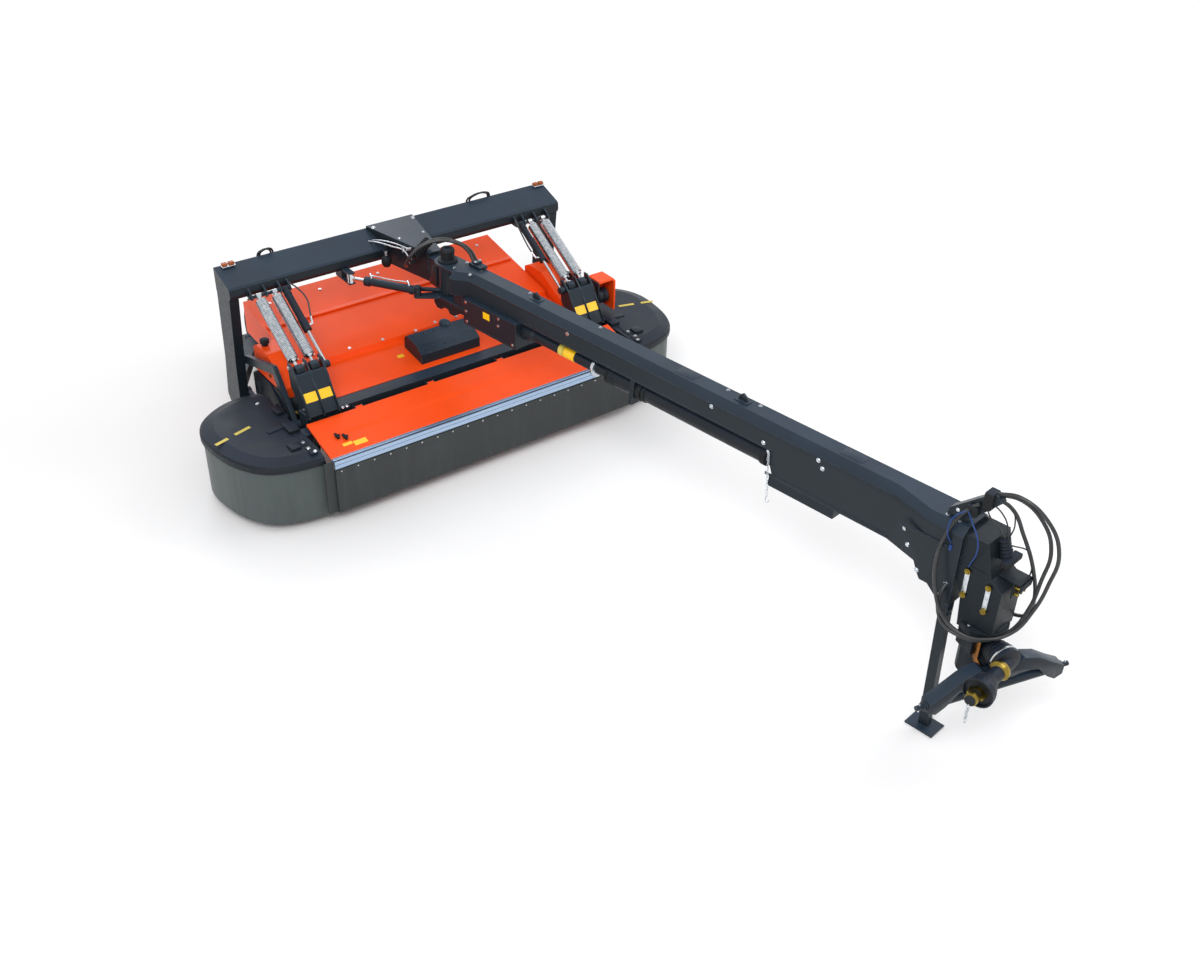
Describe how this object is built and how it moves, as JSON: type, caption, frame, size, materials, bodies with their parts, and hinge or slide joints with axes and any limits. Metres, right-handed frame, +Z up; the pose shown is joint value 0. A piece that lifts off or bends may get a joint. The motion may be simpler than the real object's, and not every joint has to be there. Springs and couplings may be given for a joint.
{
  "type": "disc mower conditioner",
  "caption": "Trailed disc mower conditioner with a portal frame, swinging drawbar, lifting head, cutting discs and conditioning rolls, parked on its stand.",
  "frame": {"origin": "centre of the bounding box on the ground", "axes": "+X towards the machine's left end, +Y towards the rear (the wheels), -Y along the drawbar to the hitch, +Z up"},
  "size_m": [4.5894, 8.0576, 1.9903],
  "materials": {
    "slate_paint": "semi-gloss",
    "orange_paint": "gloss",
    "black_plastic": "moulded",
    "rubber": "matt",
    "tyre_rubber": "matt",
    "skirt_cloth": "coated cloth",
    "silver_trim": "satin",
    "zinc": "zinc plated",
    "chrome": "polished",
    "blade_steel": "worn",
    "rim_paint": "satin"
  },
  "bodies": {
    "frame": {"portal_beam": "slate_paint", "leg_left": "slate_paint", "leg_right": "slate_paint"},
    "wheel_left": {"tyre_left": "tyre_rubber", "rim_left": "rim_paint"},
    "wheel_right": {"tyre_right": "tyre_rubber", "rim_right": "rim_paint"},
    "lower_links": {"lower_link_left": "slate_paint", "lower_link_right": "slate_paint"},
    "upper_links": {"upper_link_left": "slate_paint", "upper_link_right": "slate_paint"},
    "head": {"head_frame": "slate_paint", "cutter_bar": "slate_paint", "rear_hood": "orange_paint", "side_cover_left": "black_plastic", "side_cover_right": "black_plastic", "side_skirt_left": "skirt_cloth", "side_skirt_right": "skirt_cloth", "transmission_cover": "black_plastic", "roll_drive_case": "black_plastic", "drive_guard_left": "orange_paint", "drive_guard_right": "orange_paint", "end_drum": "black_plastic", "end_guard": "orange_paint"},
    "front_lid": {"front_guard": "orange_paint", "trim_strip": "silver_trim", "front_curtain": "rubber"},
    "springs": {"spring_pair_left": "zinc", "spring_pair_right": "zinc"},
    "lift_barrels": {"lift_barrel_left": "black_plastic", "lift_barrel_right": "black_plastic"},
    "lift_rods": {"lift_rod_left": "chrome", "lift_rod_right": "chrome"},
    "drawbar": {"drawbar_beam": "slate_paint", "rear_gearbox": "slate_paint", "shaft_guard_rear": "black_plastic", "shaft_guard_front": "black_plastic", "hose_holder": "slate_paint", "swivel_gearbox": "slate_paint", "pivot_gearbox": "slate_paint"},
    "hitch": {"hitch_gearbox": "slate_paint", "crossbar": "slate_paint", "pto_shaft": "black_plastic"},
    "stand": {"stand": "slate_paint"},
    "swing_barrel": {"swing_barrel": "slate_paint"},
    "swing_rod": {"swing_rod": "chrome"},
    "roll_upper": {"roll_upper": "rubber"},
    "roll_lower": {"roll_lower": "rubber"},
    "disc_1": {"disc_1": "blade_steel"},
    "disc_2": {"disc_2": "blade_steel"},
    "disc_3": {"disc_3": "blade_steel"},
    "disc_4": {"disc_4": "blade_steel"},
    "disc_5": {"disc_5": "blade_steel"},
    "disc_6": {"disc_6": "blade_steel"},
    "disc_7": {"disc_7": "blade_steel"},
    "disc_8": {"disc_8": "blade_steel"},
    "disc_9": {"disc_9": "blade_steel"}
  },
  "joints": [
    {"name": "wheel_left_spin", "type": "hinge", "parent": "frame", "child": "wheel_left", "pos_m": [0.85, 3.63876, 0.39], "axis": [1, 0, 0], "continuous": true},
    {"name": "wheel_right_spin", "type": "hinge", "parent": "frame", "child": "wheel_right", "pos_m": [-0.85, 3.63876, 0.39], "axis": [1, 0, 0], "continuous": true},
    {"name": "head_lift", "type": "hinge", "parent": "frame", "child": "lower_links", "pos_m": [0, 2.65876, 0.46], "axis": [-1, 0, 0], "range_deg": [0, 18]},
    {"name": "upper_link_turn", "type": "hinge", "parent": "frame", "child": "upper_links", "pos_m": [0, 2.60876, 0.82], "axis": [-1, 0, 0], "range_deg": [0, 18]},
    {"name": "head_level", "type": "hinge", "parent": "lower_links", "child": "head", "pos_m": [0, 1.73876, 0.24], "axis": [-1, 0, 0], "range_deg": [-18, 0]},
    {"name": "spring_turn", "type": "hinge", "parent": "frame", "child": "springs", "pos_m": [0, 2.40876, 1.475], "axis": [-1, 0, 0], "range_deg": [0, 23.66], "deforming": ["spring_pair_left", "spring_pair_right"]},
    {"name": "lift_barrel_turn", "type": "hinge", "parent": "frame", "child": "lift_barrels", "pos_m": [0, 2.40876, 1.475], "axis": [-1, 0, 0], "range_deg": [0, 21.71]},
    {"name": "lift_rod_slide", "type": "slide", "parent": "lift_barrels", "child": "lift_rods", "axis": [0, -0.8501, -0.5266], "range_m": [-0.087, 0]},
    {"name": "disc_1_spin", "type": "hinge", "parent": "head", "child": "disc_1", "pos_m": [-1.6, 1.32876, 0.1193], "axis": [0, 0, 1], "continuous": true},
    {"name": "disc_2_spin", "type": "hinge", "parent": "head", "child": "disc_2", "pos_m": [-1.2, 1.32876, 0.1193], "axis": [0, 0, 1], "continuous": true},
    {"name": "disc_3_spin", "type": "hinge", "parent": "head", "child": "disc_3", "pos_m": [-0.8, 1.32876, 0.1193], "axis": [0, 0, 1], "continuous": true},
    {"name": "disc_4_spin", "type": "hinge", "parent": "head", "child": "disc_4", "pos_m": [-0.4, 1.32876, 0.1193], "axis": [0, 0, 1], "continuous": true},
    {"name": "disc_5_spin", "type": "hinge", "parent": "head", "child": "disc_5", "pos_m": [0, 1.32876, 0.1193], "axis": [0, 0, 1], "continuous": true},
    {"name": "disc_6_spin", "type": "hinge", "parent": "head", "child": "disc_6", "pos_m": [0.4, 1.32876, 0.1193], "axis": [0, 0, 1], "continuous": true},
    {"name": "disc_7_spin", "type": "hinge", "parent": "head", "child": "disc_7", "pos_m": [0.8, 1.32876, 0.1193], "axis": [0, 0, 1], "continuous": true},
    {"name": "disc_8_spin", "type": "hinge", "parent": "head", "child": "disc_8", "pos_m": [1.2, 1.32876, 0.1193], "axis": [0, 0, 1], "continuous": true},
    {"name": "disc_9_spin", "type": "hinge", "parent": "head", "child": "disc_9", "pos_m": [1.6, 1.32876, 0.1193], "axis": [0, 0, 1], "continuous": true},
    {"name": "roll_upper_spin", "type": "hinge", "parent": "head", "child": "roll_upper", "pos_m": [0, 2.11876, 0.555], "axis": [1, 0, 0], "continuous": true},
    {"name": "roll_lower_spin", "type": "hinge", "parent": "head", "child": "roll_lower", "pos_m": [0, 1.99876, 0.32], "axis": [1, 0, 0], "continuous": true},
    {"name": "front_guard_lift", "type": "hinge", "parent": "head", "child": "front_lid", "pos_m": [0, 1.50876, 0.7], "axis": [-1, 0, 0], "range_deg": [0, 40]},
    {"name": "drawbar_swing", "type": "hinge", "parent": "frame", "child": "drawbar", "pos_m": [0, 1.72376, 0], "axis": [0, 0, 1], "range_deg": [-25, 25]},
    {"name": "swing_barrel_turn", "type": "hinge", "parent": "drawbar", "child": "swing_barrel", "pos_m": [-0.2447, 1.83786, 1.4233], "axis": [0, 0, 1], "range_deg": [-33.43, 33.43]},
    {"name": "swing_rod_slide", "type": "slide", "parent": "swing_barrel", "child": "swing_rod", "axis": [-0.549, 0.8358, 0], "range_m": [-0.0579, 0.0579]},
    {"name": "hitch_turn", "type": "hinge", "parent": "drawbar", "child": "hitch", "pos_m": [0.80151, -3.57598, 0], "axis": [0, 0, 1], "range_deg": [-15, 80]},
    {"name": "stand_fold", "type": "hinge", "parent": "drawbar", "child": "stand", "pos_m": [0.64996, -3.3764, 1.03], "axis": [0.9888, 0.1495, 0], "range_deg": [0, 85]}
  ],
  "couplings": [
    {"joint": "upper_link_turn", "follows": "head_lift", "ratio": 1},
    {"joint": "head_level", "follows": "head_lift", "ratio": -1},
    {"joint": "spring_turn", "follows": "head_lift", "ratio": 1.3142},
    {"joint": "lift_barrel_turn", "follows": "head_lift", "ratio": 1.2057},
    {"joint": "lift_rod_slide", "follows": "head_lift", "m_per_rad": -0.2752},
    {"joint": "swing_barrel_turn", "follows": "drawbar_swing", "ratio": -1.337},
    {"joint": "swing_rod_slide", "follows": "drawbar_swing", "m_per_rad": 0.1315},
    {"joint": "roll_lower_spin", "follows": "roll_upper_spin", "ratio": -1},
    {"joint": "disc_2_spin", "follows": "disc_1_spin", "ratio": -1},
    {"joint": "disc_3_spin", "follows": "disc_1_spin", "ratio": 1},
    {"joint": "disc_4_spin", "follows": "disc_1_spin", "ratio": -1},
    {"joint": "disc_5_spin", "follows": "disc_1_spin", "ratio": 1},
    {"joint": "disc_6_spin", "follows": "disc_1_spin", "ratio": -1},
    {"joint": "disc_7_spin", "follows": "disc_1_spin", "ratio": 1},
    {"joint": "disc_8_spin", "follows": "disc_1_spin", "ratio": -1},
    {"joint": "disc_9_spin", "follows": "disc_1_spin", "ratio": 1}
  ]
}
